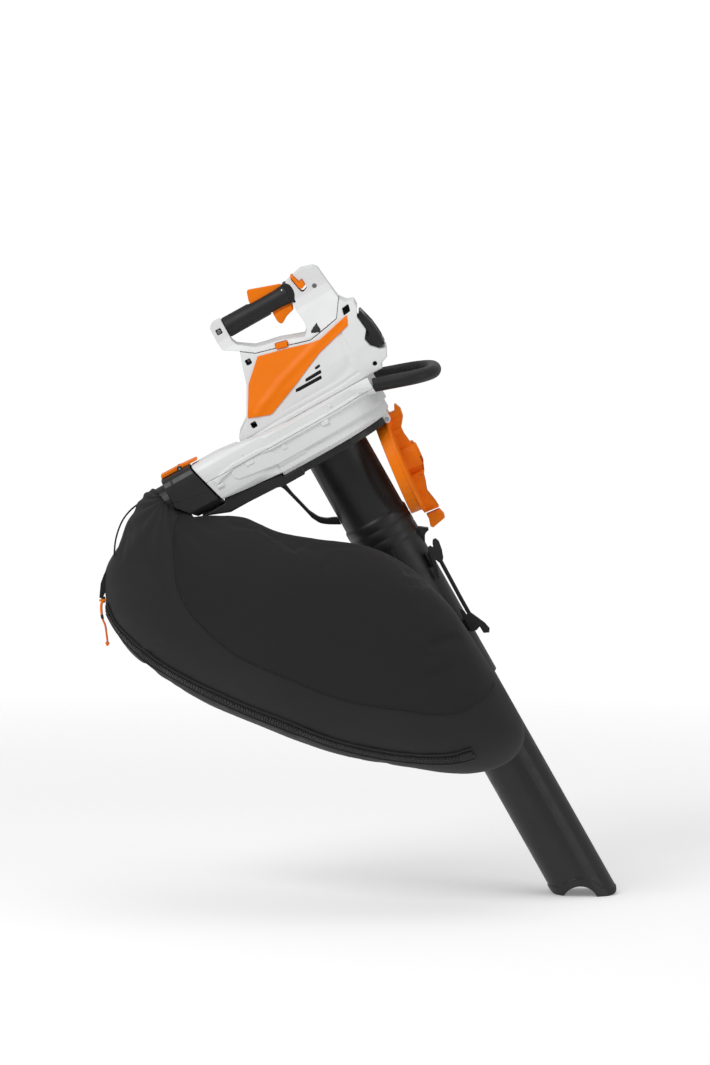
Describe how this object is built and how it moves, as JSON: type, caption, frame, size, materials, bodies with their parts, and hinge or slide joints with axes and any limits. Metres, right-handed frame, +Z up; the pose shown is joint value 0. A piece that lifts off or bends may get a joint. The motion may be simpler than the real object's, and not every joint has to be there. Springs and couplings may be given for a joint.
{
  "type": "leaf vacuum mulcher",
  "caption": "Handheld leaf vacuum and mulcher with motor head, grip and trigger, suction tube, swing-open intake cover and fabric catcher bag.",
  "frame": {"origin": "middle of the main grip, where a hand holds the machine up", "axes": "+Z up with the machine resting as in use, tube leaning 29.3 degrees, +X towards the nozzle, +Y away from the bag side"},
  "size_m": [0.8768, 0.3692, 1.075],
  "materials": {
    "white_plastic": "fine satin moulded plastic",
    "orange_plastic": "satin moulded plastic",
    "black_plastic": "fine matt texture",
    "battery_plastic": "matt",
    "soft_grip": "soft matt",
    "bag_fabric": "closely woven nylon",
    "zip_tape": "woven tape with moulded teeth",
    "black_cord": "braided",
    "orange_cord": "braided",
    "steel": "plain zinc",
    "copper_winding": "lacquered winding",
    "circuit_board": "solder resist"
  },
  "bodies": {
    "head": {"motor_housing_near": "white_plastic", "motor_housing_far": "white_plastic", "handle_shell_near": "white_plastic", "handle_shell_far": "white_plastic", "fan_housing_upper": "white_plastic", "fan_housing_lower": "white_plastic", "trim_panel_near": "orange_plastic", "trim_panel_far": "orange_plastic", "upper_tube": "black_plastic", "tube_flange": "black_plastic", "tube_bracket": "black_plastic", "bag_adapter": "black_plastic", "strap_hook_upper": "black_plastic", "strap_hook_lower": "black_plastic", "battery_terminal": "black_plastic", "trigger_switch": "black_plastic", "grip_sleeve": "soft_grip", "loop_handle": "soft_grip", "bag": "bag_fabric", "zipper": "zip_tape", "zipper_slider": "zip_tape", "bag_loop_cord": "black_cord", "strap_band": "black_cord", "zipper_pull_cord": "orange_cord", "zipper_pull_knot": "orange_cord", "motor_plate": "steel", "motor_end_bell": "steel", "bearing_lower": "steel", "bearing_upper": "steel", "trigger_pin": "steel", "lockout_pin": "steel", "trigger_spring": "steel", "lever_spring": "steel", "lever_pin": "steel", "screw_handle_front": "steel", "screw_handle_rear": "steel", "screw_handle_base": "steel", "screw_housing_front": "steel", "screw_housing_corner": "steel", "screw_housing_rear": "steel", "screw_housing_top": "steel", "motor_stator": "copper_winding", "controller_board": "circuit_board"},
    "fan_rotor": {"drive_shaft": "steel", "rotor_core": "steel", "fan_wheel": "black_plastic", "shredder_blade": "steel", "hub_nut": "steel"},
    "trigger": {"trigger": "orange_plastic"},
    "lockout_lever": {"lockout_lever": "orange_plastic"},
    "retaining_latch": {"retaining_latch": "orange_plastic"},
    "housing_button": {"housing_button": "orange_plastic"},
    "battery": {"battery_pack": "battery_plastic"},
    "battery_latch": {"battery_latch": "orange_plastic"},
    "cover": {"intake_cover": "orange_plastic", "cover_hinge_pin": "steel"},
    "cover_latch": {"cover_latch": "orange_plastic"},
    "bag_lever": {"bag_release_lever": "orange_plastic"},
    "lower_tube": {"lower_tube": "black_plastic"}
  },
  "joints": [
    {"name": "fan_spin", "type": "hinge", "parent": "head", "child": "fan_rotor", "pos_m": [0.13105, 0, -0.23148], "axis": [-0.4894, 0, 0.8721], "continuous": true},
    {"name": "trigger_pull", "type": "hinge", "parent": "head", "child": "trigger", "pos_m": [0.05286, 0, 0.0182], "axis": [0, 1, 0], "range_deg": [0, 10], "stiffness_Nm_per_rad": 1.2, "springref_deg": -5.73},
    {"name": "lockout_press", "type": "hinge", "parent": "head", "child": "lockout_lever", "pos_m": [0.04007, 0, 0.03281], "axis": [0, -1, 0], "range_deg": [0, 13], "stiffness_Nm_per_rad": 0.8, "springref_deg": -5.73},
    {"name": "retaining_latch_slide", "type": "slide", "parent": "head", "child": "retaining_latch", "axis": [0.4894, 0, -0.8721], "range_m": [0, 0.005], "stiffness_N_per_m": 500, "springref_m": -0.004},
    {"name": "housing_button_press", "type": "slide", "parent": "head", "child": "housing_button", "axis": [0, 1, 0], "range_m": [0, 0.003], "stiffness_N_per_m": 800, "springref_m": -0.003},
    {"name": "battery_slide", "type": "slide", "parent": "head", "child": "battery", "axis": [0.8721, 0, 0.4894], "range_m": [0, 0.09]},
    {"name": "battery_latch_press", "type": "slide", "parent": "head", "child": "battery_latch", "axis": [0.4894, 0, -0.8721], "range_m": [0, 0.003], "stiffness_N_per_m": 800, "springref_m": -0.003},
    {"name": "cover_swing", "type": "hinge", "parent": "head", "child": "cover", "pos_m": [0.22, 0, -0.18156], "axis": [0, -1, 0], "range_deg": [0, 18]},
    {"name": "cover_latch_press", "type": "hinge", "parent": "cover", "child": "cover_latch", "pos_m": [0.30316, 0, -0.34574], "axis": [0, -1, 0], "range_deg": [0, 10], "stiffness_Nm_per_rad": 1, "springref_deg": -5.73},
    {"name": "bag_lever_press", "type": "hinge", "parent": "head", "child": "bag_lever", "pos_m": [-0.13002, 0, -0.25873], "axis": [0, 1, 0], "range_deg": [0, 4.5], "stiffness_Nm_per_rad": 2, "springref_deg": -5.73},
    {"name": "tube_pull_off", "type": "slide", "parent": "head", "child": "lower_tube", "axis": [0.4894, 0, -0.8721], "range_m": [0, 0.06]}
  ]
}
